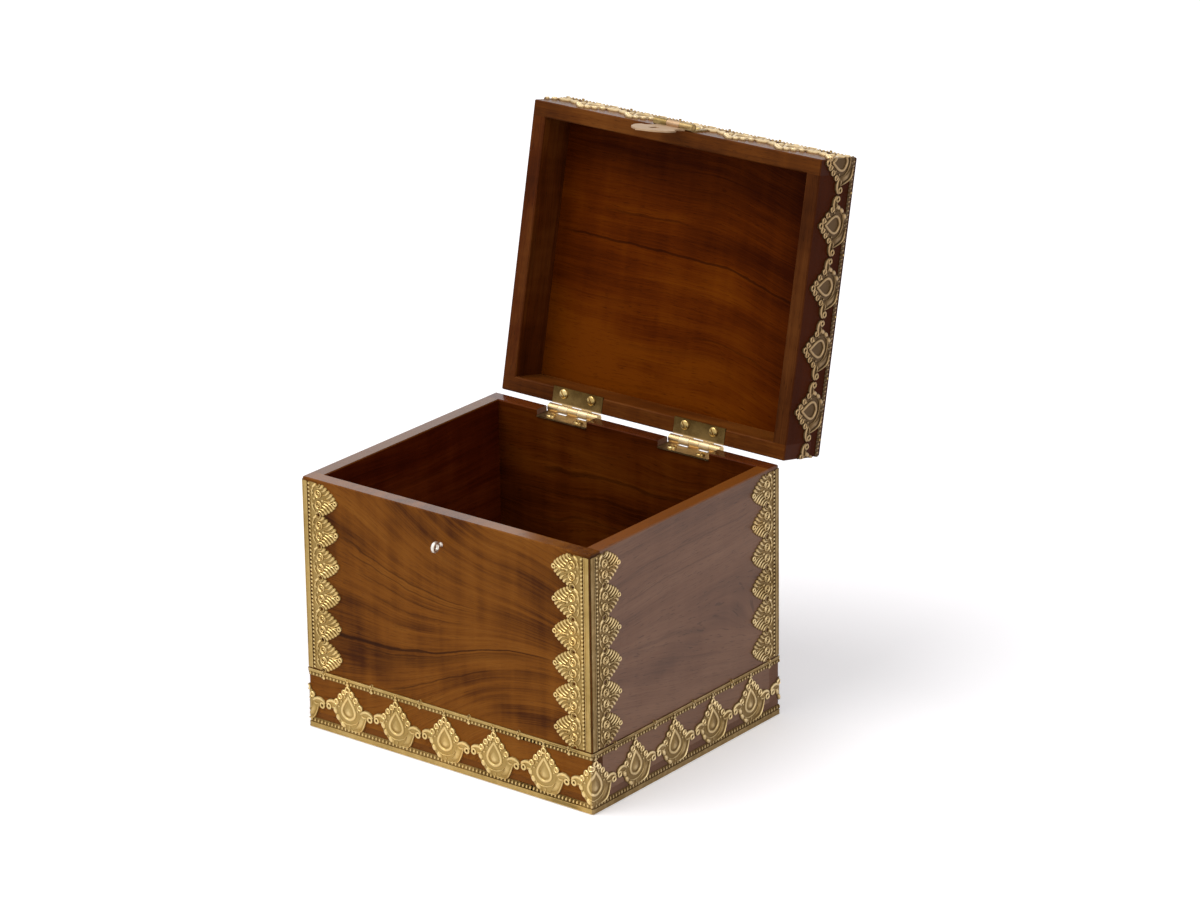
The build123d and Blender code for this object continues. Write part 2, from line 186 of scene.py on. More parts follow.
def spiral(centre, outer, inner, start, turns, steps):
    points = []
    for step in range(steps + 1):
        share = step / steps
        angle = start + 2 * math.pi * turns * share
        radius = outer + (inner - outer) * share
        points.append((centre[0] + radius * math.cos(angle), centre[1] + radius * math.sin(angle)))
    return points


def bow(start, end, sag, steps=8):
    # a shallow arc that stands out to the left of the way from start to end
    start, end = Vector(start), Vector(end)
    left = Vector((start.y - end.y, end.x - start.x)).normalized()
    return [
        tuple(start.lerp(end, step / steps) + left * (sag * math.sin(math.pi * step / steps)))
        for step in range(steps + 1)
    ]


def dropOutline(half, low, high, steps=14):
    # a drop with its point up, widest below its middle
    shares = [(1 - math.cos(math.pi * step / steps)) / 2 for step in range(1, steps)]
    right = [(half * math.sin(math.pi * share ** 0.62), low + (high - low) * share) for share in shares]
    left = [(-x, y) for x, y in reversed(right)]
    return [(0, low), *right, (0, high), *left]


def tapered(most, least=0.3):
    return lambda share: least + (most - least) * math.sin(math.pi * min(max(share, 0.02), 0.98)) ** 0.7


def skin(flat, loops):
    # quads between each loop of points and the next
    for low, high in zip(loops, loops[1:]):
        for place in range(len(low)):
            after = (place + 1) % len(low)
            flat.faces.new((low[place], low[after], high[after], high[place]))


def ridge(flat, path, wide, tall, sides=4, closed=False):
    # a half-round bar raised along a path
    loops = []
    last = len(path) - 1
    for place, (x, y) in enumerate(path):
        before = path[place - 1] if closed or place else path[0]
        after = path[(place + 1) % len(path)] if closed or place < last else path[last]
        across = Vector((before[1] - after[1], after[0] - before[0])).normalized()
        half = (wide(place / last) if callable(wide) else wide) / 2
        rise = tall(place / last) if callable(tall) else tall
        loop = []
        for step in range(sides + 1):
            turn = math.pi * step / sides
            side = across * (half * math.cos(turn))
            loop.append(flat.verts.new((x + side.x, y + side.y, rise * math.sin(turn))))
        loops.append(loop)
    skin(flat, loops + loops[:1] if closed else loops)
    if not closed:
        flat.faces.new(loops[0])
        flat.faces.new(reversed(loops[-1]))


def vein(flat, path, wide, tall, sides=4):
    # a ridge that thins out: its width and its height in the middle and at the ends
    ridge(flat, path, tapered(*wide), tapered(*tall), sides)


def hoop(flat, centre, radius, wide, tall):
    ridge(flat, circle(centre, radius, 14), wide, tall, closed=True)


def dome(flat, outline, tall, rings=3, centre=None):
    # a rounded boss over an outline
    middle = Vector(centre or [sum(axis) / len(outline) for axis in zip(*outline)])
    loops = []
    for ring in range(rings):
        turn = quarter * ring / rings
        spots = [middle.lerp(Vector(point), math.cos(turn)) for point in outline]
        loops.append([flat.verts.new((spot.x, spot.y, tall * math.sin(turn))) for spot in spots])
    crown = flat.verts.new((middle.x, middle.y, tall))
    skin(flat, loops)
    top = loops[-1]
    for place in range(len(top)):
        flat.faces.new((top[place], top[(place + 1) % len(top)], crown))
    flat.faces.new(reversed(loops[0]))


def sheet(flat, outline, thick):
    # a flat plate with upright edges
    low, high = ([flat.verts.new((x, y, z)) for x, y in outline] for z in (0, thick))
    flat.faces.new(high)
    flat.faces.new(reversed(low))
    skin(flat, [low, high])


def slab(flat, left, right, low, high, thick):
    sheet(flat, [(left, low), (right, low), (right, high), (left, high)], thick)


def stamp(name, draw):
    # draws a shape in millimetres and keeps it as an object
    flat = bmesh.new()
    draw(flat)
    bmesh.ops.recalc_face_normals(flat, faces=flat.faces)
    bmesh.ops.scale(flat, vec=(mm, mm, mm), verts=flat.verts)
    mesh = bpy.data.meshes.new(name)
    flat.to_mesh(mesh)
    flat.free()
    return bpy.data.objects.new(name, mesh)


# The ribbon round the base and the lid: lotus buds between beaded rails
ribbon = {
    "pitch": 31.2,
    "phase": -1.8,  # from the middle of the front to the nearest bud
    "lift": 0.3,
    "plainBand": 2.6,
    "beadBand": 2.7,
    "upperLow": 28.0,
    "upperBeadBand": 2.1,
    "upperPlainBand": 1.6,
    "bandSheet": 0.55,
    "sheet": 0.38,
    "openSheet": 0.25,
    "bed": 0.22,
    "bead": {"radius": 0.68, "turn": 80, "tall": 0.95},
    "beads": 14,  # in one pitch
    "lip": {"wide": 0.55, "tall": 0.7, "brightTall": 0.85},
    "tie": {
        "half": 0.9, "heights": (-0.9, 0.5, 1.9), "wide": 0.7, "tall": 1.1,
        "beadRadius": 0.8, "beadTall": 1.15,
    },
    "ear": {"height": 31.5, "radius": 1.15, "tall": 0.72},
}

bud = {
    # the plate's outline: up its right side, over the neck and down its left side
    "rightSide": [(1.0, 3.8), (7.6, 5.0), (9.0, 6.6), (10.5, 9.8), (11.7, 13.4)],
    "leftSide": [(-3.0, 4.2), (-5.8, 6.4), (-8.3, 9.4), (-9.9, 13.4)],
    "crown": [(9.2, 16.2), (8.3, 18.6), (5.6, 22.0), (3.0, 24.6), (1.6, 26.6)],
    "neck": [(0.8, 28.2), (-0.8, 28.2)],
    "dropLow": 8.8,
    "dropHigh": 22.8,
    "dropHalf": 5.2,
    "rimWide": 1.9,
    "rimTall": 1.02,
    # inset, foot and top above the drop's foot, steps, height and the place of its crown
    "fillings": [(1.6, 1.6, 10.6, 10, 0.72, 4.6), (2.9, 2.4, 7.4, 8, 0.9, 4.2)],
    "cup": [(-6.6, 13.4), (-6.2, 10.4), (-4.6, 8.0), (-1.6, 7.0), (1.6, 7.2), (4.8, 8.6), (6.6, 10.8),
            (7.2, 13.6)],
    "cupVein": ((1.0, 0.5), (0.85, 0.5)),
    "scallops": [(2.4, 23.9), (5.0, 21.2), (7.7, 17.8)],
    "scallopBed": 1.6,
    "scallopHoop": (1.2, 1.05, 1.2),  # radius, width and height
    "tip": (0, 25.9),
    "tipHoop": (1.3, 1.15, 1.2),
    "pearls": [(2.1, 21.7), (4.3, 18.9), (6.1, 15.6)],
    "pearlRadius": 0.72,
    "lobes": [(-8.6, 12.6, -63), (-6.9, 9.3, -60), (-3.9, 6.2, -42)],
    "lobeRadius": 1.35,
    "leaf": [(7.2, 13.2), (9.0, 14.0), (11.0, 12.8), (9.9, 9.6), (8.4, 6.6), (6.6, 5.2), (2.8, 4.6),
             (5.4, 8.0)],
    "leafTall": 0.75,
    "edge": [(11.8, 13.8), (11.1, 11.4), (10.2, 9.0), (9.1, 6.7), (7.9, 5.3), (6.0, 4.6), (3.0, 4.1)],
    "edgeVein": ((0.95, 0.7), (1.2, 0.8)),
    "creases": [((-2.6, 7.0), (-2.2, 4.6)), ((0.2, 6.6), (0.6, 4.4))],
    "creaseVein": ((1.3, 0.8), (0.8, 0.5), 3),
    "arm": [(8.0, 14.8), (9.5, 16.0), (11.2, 16.6), (13.1, 16.4), (14.9, 15.5), (15.7, 14.2)],
    "armVein": ((1.9, 1.0), (1.35, 0.8)),
    "armBed": [(8.2, 12.6), (12.0, 12.4), (12.9, 14.0), (14.4, 15.3), (12.8, 16.5), (10.6, 16.8),
               (8.6, 16.2)],
    "armRing": (14.0, 13.2),
    "ringRadius": 1.25,
    "ringWide": 1.45,
    "ringTall": 1.2,
    "sweep": ((8.4, 14.2), (11.8, 13.8), -0.7, 5),
    "sweepVein": ((1.3, 0.7), (1.05, 0.6), 3),
    "leftShare": 0.914,  # the left arm is a little shorter and higher
    "leftLift": 0.8,
}


def drawBud(flat, filled=True):
    # the plate ends under the scallops above, is full at the waist and narrower at the foot
    thick = ribbon["sheet"] if filled else ribbon["openSheet"]
    left = bud["leftSide"] + [(-x, y) for x, y in bud["crown"]]
    sheet(flat, bud["rightSide"] + bud["crown"] + bud["neck"] + left[::-1], thick)
    # the drop in its raised rim and its low filling
    low, high, half = bud["dropLow"], bud["dropHigh"], bud["dropHalf"]
    rimHalf = bud["rimWide"] / 2
    rim = dropOutline(half - rimHalf, low + rimHalf, high - rimHalf, 16)
    ridge(flat, rim, bud["rimWide"], bud["rimTall"], 5, closed=True)
    if filled:
        for inset, foot, top, steps, tall, crown in bud["fillings"]:
            filling = dropOutline(half - inset, low + foot, low + top, steps)
            dome(flat, filling, tall, centre=(0, low + crown))
    vein(flat, bud["cup"], *bud["cupVein"])
    # three scallops down each side with pearls inside them, and the open ring at the tip
    for hand in (-1, 1):
        for x, y in bud["scallops"]:
            dome(flat, circle((hand * x, y), bud["scallopBed"], 12), 0.8, 2)
            hoop(flat, (hand * x, y), *bud["scallopHoop"])
        for x, y in bud["pearls"]:
            dome(flat, circle((hand * x, y), bud["pearlRadius"], 8), 1.0, 2)
    hoop(flat, bud["tip"], *bud["tipHoop"])
    # left foot: three lobes like plump segments; right foot: a smooth leaf with a bright rolled edge
    for x, y, turn in bud["lobes"]:
        dome(flat, circle((x, y), bud["lobeRadius"], 14, stretch=1.5, turn=math.radians(turn)), 1.2)
    dome(flat, bud["leaf"], bud["leafTall"])
    vein(flat, bud["edge"], *bud["edgeVein"])
    for start, end in bud["creases"]:
        vein(flat, bow(start, end, 0.2, 4), *bud["creaseVein"])
    # the arms: a broad leaf that rises from the waist and rolls down into an open ring
    shapes = bud["arm"], bud["armBed"], circle(bud["armRing"], bud["ringRadius"], 14), bow(*bud["sweep"])
    for hand, lift in ((1, 0), (-bud["leftShare"], bud["leftLift"])):
        arm, bed, ring, sweep = ([(x * hand, y + lift) for x, y in shape] for shape in shapes)
        sheet(flat, bed, thick + 0.12)
        vein(flat, arm, *bud["armVein"])
        ridge(flat, ring, bud["ringWide"], bud["ringTall"], closed=True)
        vein(flat, sweep, *bud["sweepVein"])


def drawRail(low, high, bright):
    # one pitch of plain band: a flat strip between two fine lips, one of them brighter
    def draw(flat):
        half, lip = ribbon["pitch"] / 2, ribbon["lip"]
        slab(flat, -half, half, low, high, ribbon["bandSheet"])
        for side, centre in (("low", low + lip["wide"] / 2), ("high", high - lip["wide"] / 2)):
            path = [(-half + ribbon["pitch"] * step / 4, centre) for step in range(5)]
            ridge(flat, path, lip["wide"], lip["brightTall"] if bright == side else lip["tall"], 3)
    return draw


def drawBeadBed(tall):
    half = ribbon["pitch"] / 2
    return lambda flat: slab(flat, -half, half, -tall / 2, tall / 2, ribbon["bed"])


def drawBead(tall):
    bead = ribbon["bead"]
    turn = math.radians(bead["turn"])
    oval = circle((0, 0), bead["radius"], 8, stretch=tall / 2 / bead["radius"], turn=turn)
    return lambda flat: dome(flat, oval, bead["tall"], 2)


def drawTie(flat):
    # a small crossed tie over the upper rail
    tie = ribbon["tie"]
    low, middle, high = tie["heights"]
    for hand in (-1, 1):
        path = [(hand * tie["half"], low), (0, middle), (-hand * tie["half"], high)]
        ridge(flat, path, tie["wide"], tie["tall"], 3)
    dome(flat, circle((0, low), tie["beadRadius"], 8), tie["beadTall"], 2)


def drawEar(flat):
    # a round ear on the upper rail, under a tack
    dome(flat, circle((0, 0), ribbon["ear"]["radius"], 12), ribbon["ear"]["tall"], 2)


# The strips beside the upright corners: x from the plain edge to the leaf tips, y up the strip
strip = {
    "edge": -0.6,
    "plainBand": 2.3,
    "beadBand": 2.4,
    "notch": 12.0,
    "tip": 22.0,
    "gap": 1.0,
    "leaves": 6,
    "sheet": 0.28,
    "bandSheet": 0.5,
    "lipWide": 0.6,
    "bead": {"radius": 0.8, "stretch": 1.2, "turn": -30, "tall": 1.05},
    "beads": 8,  # beside one leaf
    "edgeEase": 0.5,
    "cadFoot": 33.8,
    "foot": 32.7,
}
strip["pitch"] = (bodyTop / mm - strip["edgeEase"] - strip["cadFoot"]) / strip["leaves"]

leaf = {
    # each rib runs from its root to the edge, nearly level with its neighbours
    "edges": [(12.2, 7.3), (14.2, 6.25), (16.1, 5.05), (17.9, 3.75), (19.4, 2.35)],
    "roots": [(9.4, 5.9), (11.3, 4.5), (12.4, 2.7), (13.6, 1.2), (15.9, 0.55)],
    "ribRoot": 0.6,
    "ribWide": 1.6,
    "ribTall": 1.05,
    "ribSag": 0.45,
    "lobeRadius": 1.08,
    "spine": (12.4, 7.4),  # start and length
    "spineVein": ((0.75, 0.5), (1.0, 0.6)),
    "tipHoop": (0.95, 1.15, 1.1),  # radius, width and height
    "voluteCentre": (9.5, 2.85),
    "voluteHoop": (1.9, 0.85, 1.05),
    "tail": (0.5, 60, 1.3),  # inner radius, start in degrees and turns
    "curl": ((5.6, 0.7), (7.4, 7.0)),
    "curlVein": ((1.0, 0.5), (1.0, 0.6)),
    "slantedLeaf": {"x": 6.9, "down": 1.5, "radius": 0.85, "stretch": 2.3, "turn": 42, "tall": 1.2},
    "holePlace": 9.2,
    "holeRadius": 0.85,
    "holeRim": 1.65,
}


def drawPalmette(flat):
    pitch, tip = strip["pitch"], strip["tip"]
    middle = pitch / 2
    start = strip["plainBand"] + strip["beadBand"] / 2
    # the plate, with half of a round hole bitten out of each end
    hole, radius = leaf["holePlace"], leaf["holeRadius"]
    turns = [math.pi * step / 7 for step in range(7, -1, -1)]
    bite = [(hole + radius * math.cos(turn), radius * math.sin(turn)) for turn in turns]
    lower = [(start, 0), *bite, (strip["notch"] - 1.1, 0)]
    lower += [(x, middle - y) for x, y in leaf["edges"]] + [(tip - 1.2, middle - 1.2)]
    upper = [(x, pitch - y) for x, y in reversed(lower)]
    sheet(flat, lower + upper, strip["sheet"])
    # ribs that fan out from the volutes and widen into the lobes of the scalloped edge
    root, length = leaf["spine"]
    vein(flat, [(root + length * step / 6, middle) for step in range(7)], *leaf["spineVein"])
    hoop(flat, (tip - 1.6, middle), *leaf["tipHoop"])
    dome(flat, circle((tip - 1.6, middle), 0.5, 6), 0.7, 1)
    for hand in (-1, 1):
        for edge, (x, y) in zip(leaf["edges"], leaf["roots"]):
            edge = (edge[0], middle + hand * edge[1])
            rib = bow((x, middle + hand * y), edge, -hand * leaf["ribSag"], 6)
            root, wide = leaf["ribRoot"], leaf["ribWide"]
            ridge(flat, rib, lambda part: root + (wide - root) * part, leaf["ribTall"], 4)
            dome(flat, circle(edge, leaf["lobeRadius"], 9), 0.95, 2)
        # the volutes at the heart of the leaf, with a curled tail in each
        centre = (leaf["voluteCentre"][0], middle + hand * leaf["voluteCentre"][1])
        hoop(flat, centre, *leaf["voluteHoop"])
        inner, begin, around = leaf["tail"]
        outer = leaf["voluteHoop"][0] - 0.1
        tail = spiral(centre, outer, inner, math.radians(begin * hand), around * hand, 18)
        ridge(flat, tail, tapered(0.75, 0.5), 1.0, 4)
        # leaves that curl from the bead row towards the hole
        foot, head = ((x, middle + hand * y) for x, y in leaf["curl"])
        vein(flat, bow(foot, head, hand * 0.9, 7), *leaf["curlVein"])
        dome(flat, circle((6.2, middle + hand * 2.9), 0.62, 8, stretch=1.5, turn=quarter), 0.95, 2)
        rim = leaf["holeRim"]
        path = [
            (hole + rim * math.cos(turn), middle - hand * (middle - rim * math.sin(turn)))
            for turn in [math.pi * step / 8 for step in range(9)]
        ]
        ridge(flat, path, 0.7, 0.85, 3)
    dome(flat, circle((7.0, middle), 0.8, 8), 1.05, 2)
    dome(flat, circle((12.3, middle), 0.8, 8, stretch=1.3), 1.1, 2)
    # one smooth slanted leaf beside the beads
    slanted = leaf["slantedLeaf"]
    centre = (slanted["x"], pitch - slanted["down"])
    turn = math.radians(slanted["turn"])
    oval = circle(centre, slanted["radius"], 12, stretch=slanted["stretch"], turn=turn)
    dome(flat, oval, slanted["tall"])


def drawStripBand(flat):
    # a flat band between fine lips
    edge, wide, pitch = strip["edge"], strip["plainBand"], strip["pitch"]
    slab(flat, edge, wide + 0.2, 0, pitch, strip["bandSheet"])
    for centre, tall in ((edge + 0.3, 0.75), (wide - 0.15, 0.85)):
        ridge(flat, [(centre, pitch * step / 3) for step in range(4)], strip["lipWide"], tall, 3)


def drawStripBead(flat):
    bead = strip["bead"]
    place = strip["plainBand"] + strip["beadBand"] / 2 + 0.1
    oval = circle((place, 0), bead["radius"], 8, stretch=bead["stretch"], turn=math.radians(bead["turn"]))
    dome(flat, oval, bead["tall"], 2)


# Geometry Nodes: rows of units, made one mesh
rowInputs = {"unit": "Object", "count": "Int", "spacing": "Vector", "start": "Vector", "turn": "Vector"}


def rowTree(name, rows):
    # a row's named inputs: its unit, their number and spacing, the place of the first and the most they turn
    tree = bpy.data.node_groups.new(name, "GeometryNodeTree")
    for row in rows:
        for part, kind in rowInputs.items():
            tree.interface.new_socket(row + " " + part, in_out="INPUT", socket_type="NodeSocket" + kind)
    tree.interface.new_socket("Material", in_out="INPUT", socket_type="NodeSocketMaterial")
    tree.interface.new_socket("Geometry", in_out="OUTPUT", socket_type="NodeSocketGeometry")
    graph = Graph(tree)
    given = graph.add("NodeGroupInput")
    whole = graph.add("GeometryNodeJoinGeometry")
    for row in rows:
        line = graph.add("GeometryNodeMeshLine", {"mode": "OFFSET"}, {
            "Count": given.output(row + " count"),
            "Start Location": given.output(row + " start"),
            "Offset": given.output(row + " spacing"),
        })
        unit = graph.add("GeometryNodeObjectInfo", (), {"Object": given.output(row + " unit")}, "Geometry")
        turn = graph.add("FunctionNodeRandomValue", {"data_type": "FLOAT_VECTOR"}, {
            "Min": (0, 0, 0), "Max": given.output(row + " turn"), "Seed": 7,
        })
        placed = graph.add("GeometryNodeInstanceOnPoints", (), {
            "Points": line, "Instance": unit, "Rotation": turn,
        })
        graph.dress(whole.socket.node, [placed])
    solid = graph.add("GeometryNodeRealizeInstances", (), {"Geometry": whole})
    height = graph.add("ShaderNodeSeparateXYZ", (), [graph.add("GeometryNodeInputPosition")], "Z")
    kept = graph.add("GeometryNodeStoreNamedAttribute", {"data_type": "FLOAT", "domain": "POINT"}, {
        "Geometry": solid, "Name": "relief", "Value": height * (1 / mm),
    })
    painted = graph.add("GeometryNodeSetMaterial", (), {
        "Geometry": kept, "Material": given.output("Material"),
    })
    tree.nodes.new("NodeGroupOutput")
    graph.dress(tree.nodes["Group Output"], {"Geometry": painted})
    return tree


def repeated(name, material, rows):
    # runs the tree on an empty mesh and returns its plain result; a row gives what the tree's inputs ask
    inputs = {"Material": material}
    for row, (unit, count, spacing, start, turn) in rows.items():
        inputs[row + " unit"] = units[unit]
        inputs[row + " count"] = count
        inputs[row + " spacing"] = [part * mm for part in spacing]
        inputs[row + " start"] = [part * mm for part in start]
        inputs[row + " turn"] = (0.0, 0.0, turn)
    carrier = show(bpy.data.objects.new(name, bpy.data.meshes.new(name)))
    modifier = carrier.modifiers.new("rows", "NODES")
    modifier.node_group = rowTree(name + " rows", rows)
    for socket in modifier.node_group.interface.items_tree:
        if socket.in_out == "INPUT":
            modifier[socket.identifier] = inputs[socket.name]
    plans = bpy.context.evaluated_depsgraph_get()
    plain = bpy.data.meshes.new_from_object(carrier.evaluated_get(plans))
    plain.name = name
    carrier.modifiers.clear()
    carrier.data = plain
    return carrier


# Cutting, folding and placing the flat trim
def cut(flat, point, normal, keepBelow=False):
    bmesh.ops.bisect_plane(
        flat, geom=flat.verts[:] + flat.edges[:] + flat.faces[:], dist=1e-7,
        plane_co=point, plane_no=normal, clear_outer=keepBelow,
    )


def smoothed(piece, angle=35):
    piece.data.shade_smooth()
    piece.data.set_sharp_from_angle(angle=math.radians(angle))
    return piece


def reshaped(piece, change):
    flat = bmesh.new()
    flat.from_mesh(piece.data)
    bmesh.ops.remove_doubles(flat, verts=flat.verts, dist=1e-6)
    change(flat)
    flat.to_mesh(piece.data)
    flat.free()
    return smoothed(piece)


def fitted(piece, node, body):
    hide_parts(node)
    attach(piece, body)


fold = {"radius": 0.5, "steps": 3}


def folded(spot):
    # a point of the flat ribbon on the box: x runs from the middle of the front, z is the relief
    radius = fold["radius"] * mm
    along, up, out = spot
    hand = 1 if along >= 0 else -1
    past = abs(along) - (width / 2 - radius)
    if past <= 0:
        return Vector((along, -depth / 2 - out, up))
    turn = min(past / (2 * radius), 1) * math.pi / 2
    x = width / 2 - radius + (radius + out) * math.sin(turn)
    y = -depth / 2 + radius - (radius + out) * math.cos(turn)
    y += max(past - 2 * radius, 0)
    return Vector((hand * x, y, up))


def bend(flat, upended, notch):
    # folds the flat ribbon round the box's front corners, with room for the hasp cut out of it
    radius = fold["radius"] * mm
    for hand in (-1, 1):
        cut(flat, (hand * (width / 2 + depth), 0, 0), (hand, 0, 0), keepBelow=True)
        for step in range(fold["steps"] + 1):
            along = width / 2 - radius + 2 * radius * step / fold["steps"]
            cut(flat, (hand * along, 0, 0), (hand, 0, 0))
    if notch:
        low, high, top = notch
        cut(flat, (low, 0, 0), (1, 0, 0))
        cut(flat, (high, 0, 0), (1, 0, 0))
        cut(flat, (0, top, 0), (0, 1, 0))
        inside = [
            face for face in flat.faces
            if low < face.calc_center_median().x < high and face.calc_center_median().y > top
        ]
        bmesh.ops.delete(flat, geom=inside, context="FACES")
    bmesh.ops.holes_fill(flat, edges=[edge for edge in flat.edges if edge.is_boundary], sides=0)
    for vert in flat.verts:
        vert.co = folded(vert.co)
        if upended:
            vert.co.z = upended - vert.co.z
            vert.co = opened @ vert.co
    if upended:
        bmesh.ops.reverse_faces(flat, faces=flat.faces)


def makeRibbon(name, node, body, material, withTopRail=True, upended=0, notch=None):
    pitch = ribbon["pitch"]
    reach = (width / 2 + depth) / mm
    first = math.floor((-reach - ribbon["phase"]) / pitch)
    count = 2 - 2 * first
    start = ribbon["phase"] + first * pitch
    spacing = pitch / ribbon["beads"]
    beads = count * ribbon["beads"]
    middleLow = ribbon["plainBand"] + ribbon["beadBand"] / 2
    middleHigh = ribbon["upperLow"] + ribbon["upperBeadBand"] / 2
    # unit, number, spacing, shift along and height
    rows = {"Bud": ("bud" if withTopRail else "openBud", count, pitch, 0, 0)}
    rows["Lower bed"] = ("lowerBed", count, pitch, 0, middleLow)
    rows["Lower beads"] = ("lowerBead", beads, spacing, 0, middleLow)
    if withTopRail:
        rows["Lower band"] = ("lowerBand", count, pitch, 0, 0)
        rows["Upper band"] = ("upperBand", count, pitch, 0, 0)
        rows["Upper bed"] = ("upperBed", count, pitch, 0, middleHigh)
        rows["Upper beads"] = ("upperBead", beads, spacing, 0, middleHigh)
        rows["Ties"] = ("tie", 2 * count, pitch / 2, 0, middleHigh)
        rows["Ears"] = ("ear", count, pitch, pitch / 2, ribbon["ear"]["height"])
    piece = repeated(name, material, {
        row: (unit, number, (step, 0, 0), (start + shift, up, 0), 0.0)
        for row, (unit, number, step, shift, up) in rows.items()
    })
    lift = 0 if upended else ribbon["lift"] * mm
    piece.data.transform(Matrix.Translation((0, lift, 0)))
    fitted(reshaped(piece, lambda flat: bend(flat, upended, notch)), node, body)


def makeStrip(name, node, place, hand):
    leaves, pitch = strip["leaves"], strip["pitch"]
    spacing = pitch / strip["beads"]
    piece = repeated(name, baseBrass, {
        "Palmette": ("palmette", leaves, (0, pitch, 0), (0, 0, 0), 0.0),
        "Band": ("stripBand", leaves, (0, pitch, 0), (0, 0, 0), 0.0),
        "Beads": ("stripBead", leaves * strip["beads"], (0, spacing, 0), (0, spacing / 2, 0), 0.0),
    })

    def change(flat):
        for vert in flat.verts:
            vert.co.x *= hand
        if hand < 0:
            bmesh.ops.reverse_faces(flat, faces=flat.faces)
        flat.transform(place)
    fitted(reshaped(piece, change), node, "chest")


# Finishes
def finish(name, roughness, metallic=0.0, specular=0.5):
    material = bpy.data.materials.new(name)
    material.use_nodes = True
    shader = material.node_tree.nodes["Principled BSDF"]
    graph = Graph(material.node_tree)
    graph.dress(shader, {"Roughness": roughness, "Metallic": metallic, "Specular IOR Level": specular})
    return material, graph, shader


stamped = {
    # bright relief, the plain sheet and the dark ground, and the painted shade and dark reflection of the
    # side faces past the front corners, which multiplies them
    "base": {
        "bright": (0.78, 0.59, 0.265), "plate": (0.43, 0.3, 0.105), "ground": (0.2, 0.12, 0.04),
        "sides": (0.86, 0.88, 1.08), "shadedSideGround": (0.55, 0.52, 0.6),
    },
    "lid": {
        "bright": (0.8, 0.63, 0.38), "plate": (0.46, 0.33, 0.18), "ground": (0.28, 0.18, 0.08),
        "sides": (0.46, 0.4, 0.34), "shadedSideGround": (0.25, 0.21, 0.17),
    },
    "tints": [(0.3, (0.84, 0.8, 0.7)), (0.55, (1.0, 1.0, 1.0)), (0.72, (1.06, 1.0, 0.88))],
    "roughness": 0.34,
    "patch": 0.0038,
    "stain": 0.022,
    "clean": (0.14, 0.36),  # relief in millimetres, from the ground to the sheet
    "worn": (0.42, 1.1),  # from the sheet to the bright relief
}


def stampedBrass(name, bright, plate, ground, sides, shadedSideGround):
    # bright where the relief stands up, dull on the sheet and brown on the ground between beads
    material, graph, shader = finish(name, stamped["roughness"], 1.0)
    place = graph.add("ShaderNodeTexCoord", output="Object")
    relief = graph.add("ShaderNodeAttribute", {"attribute_name": "relief"}, output="Fac")
    patches = graph.noise(place, stamped["patch"], 3)
    stains = graph.noise(place, stamped["stain"], 4)
    worn = (relief + (patches - 0.5) * 0.5).rise(*stamped["worn"])
    clean = (relief + (patches - 0.5) * 0.12).rise(*stamped["clean"])
    # painted shade and dark reflection: on the side faces the colour is multiplied by the darker side tints,
    # darkest on the ground
    across = graph.add("ShaderNodeSeparateXYZ", (), [place], "X").unary("ABSOLUTE")
    side = across.rise(width / 2 - 0.0006, width / 2 - 0.0001)
    colour = graph.mix(clean, ground, graph.mix(worn, plate, bright))
    colour = graph.tinted(colour, graph.ramp(stains, stamped["tints"]))
    deep = graph.mix(worn * clean, shadedSideGround, sides)
    graph.dress(shader, {
        "Base Color": graph.mix(side, colour, graph.tinted(colour, deep)),
        "Roughness": stamped["roughness"] + 0.16 - worn * 0.2 + patches * 0.06,
        "Normal": graph.bump(patches, 0.35, 0.00012),
    })
    return material


rolled = {"cloud": 0.009, "scratch": (0.009, 0.0004, 0.0004), "speck": 0.0007}


def sheetBrass(name, bright, dull, roughness, barrel=None):
    # drawn sheet: soft clouding, fine scratches and small dents; with a barrel given, a painted highlight
    # makes it brighter near its axis, and the leaf turns darker away from the axis
    material, graph, shader = finish(name, roughness, 1.0)
    place = graph.add("ShaderNodeTexCoord", output="Object")
    clouds = graph.noise(place, rolled["cloud"], 5)
    lines = graph.noise(place, rolled["scratch"], 2)
    specks = graph.noise(place, rolled["speck"], 1)
    colour = graph.mix((clouds + (specks - 0.5) * 0.3).rise(0.34, 0.66), dull, bright)
    if barrel:
        near, far, barrelHighlight, fading = barrel
        turned = graph.add("ShaderNodeVectorMath", {"operation": "SUBTRACT"}, [place, tuple(hinge)])
        flatWays = graph.add("ShaderNodeVectorMath", {"operation": "MULTIPLY"}, [turned, (0, 1, 1)])
        away = graph.add("ShaderNodeVectorMath", {"operation": "LENGTH"}, [flatWays], "Value")
        colour = graph.mix(away.rise(near * 1.6, far), colour, graph.tinted(colour, fading))
        # painted highlight: near the hinge's axis the colour turns to the barrel's highlight colour
        colour = graph.mix(away.rise(near, near * 1.35), graph.mix(clouds * 0.5, barrelHighlight, colour), colour)
    graph.dress(shader, {
        "Base Color": colour,
        "Roughness": roughness - 0.06 + lines * 0.14,
        "Normal": graph.bump(clouds + lines * 0.2, 0.25, 0.0001),
    })
    return material


# Wood: lengths are in millimetres in the closed box, so a board's grain stays with it
grain = {
    "slowWave": (95, 38, 200),
    "quickWave": (24, 13, 60),
    "band": (150, 10, 10),
    "streak": (80, 2.0, 2.0),
    "thread": (32, 0.6, 0.6),
    "pore": (5.5, 0.42, 0.42),
    "curl": (8, 70, 70),
    "cloud": (60, 24, 60),
    "lineFading": (60, 12, 12),
    "wobble": (15, 9, 60),
    "ringSpacing": 6.5,
    "roughness": 0.42,
}
# how far each part of the grain moves the tone between dark and light
grainShare = {"band": 0.65, "streak": 0.36, "thread": 0.4, "cloud": 0.9}


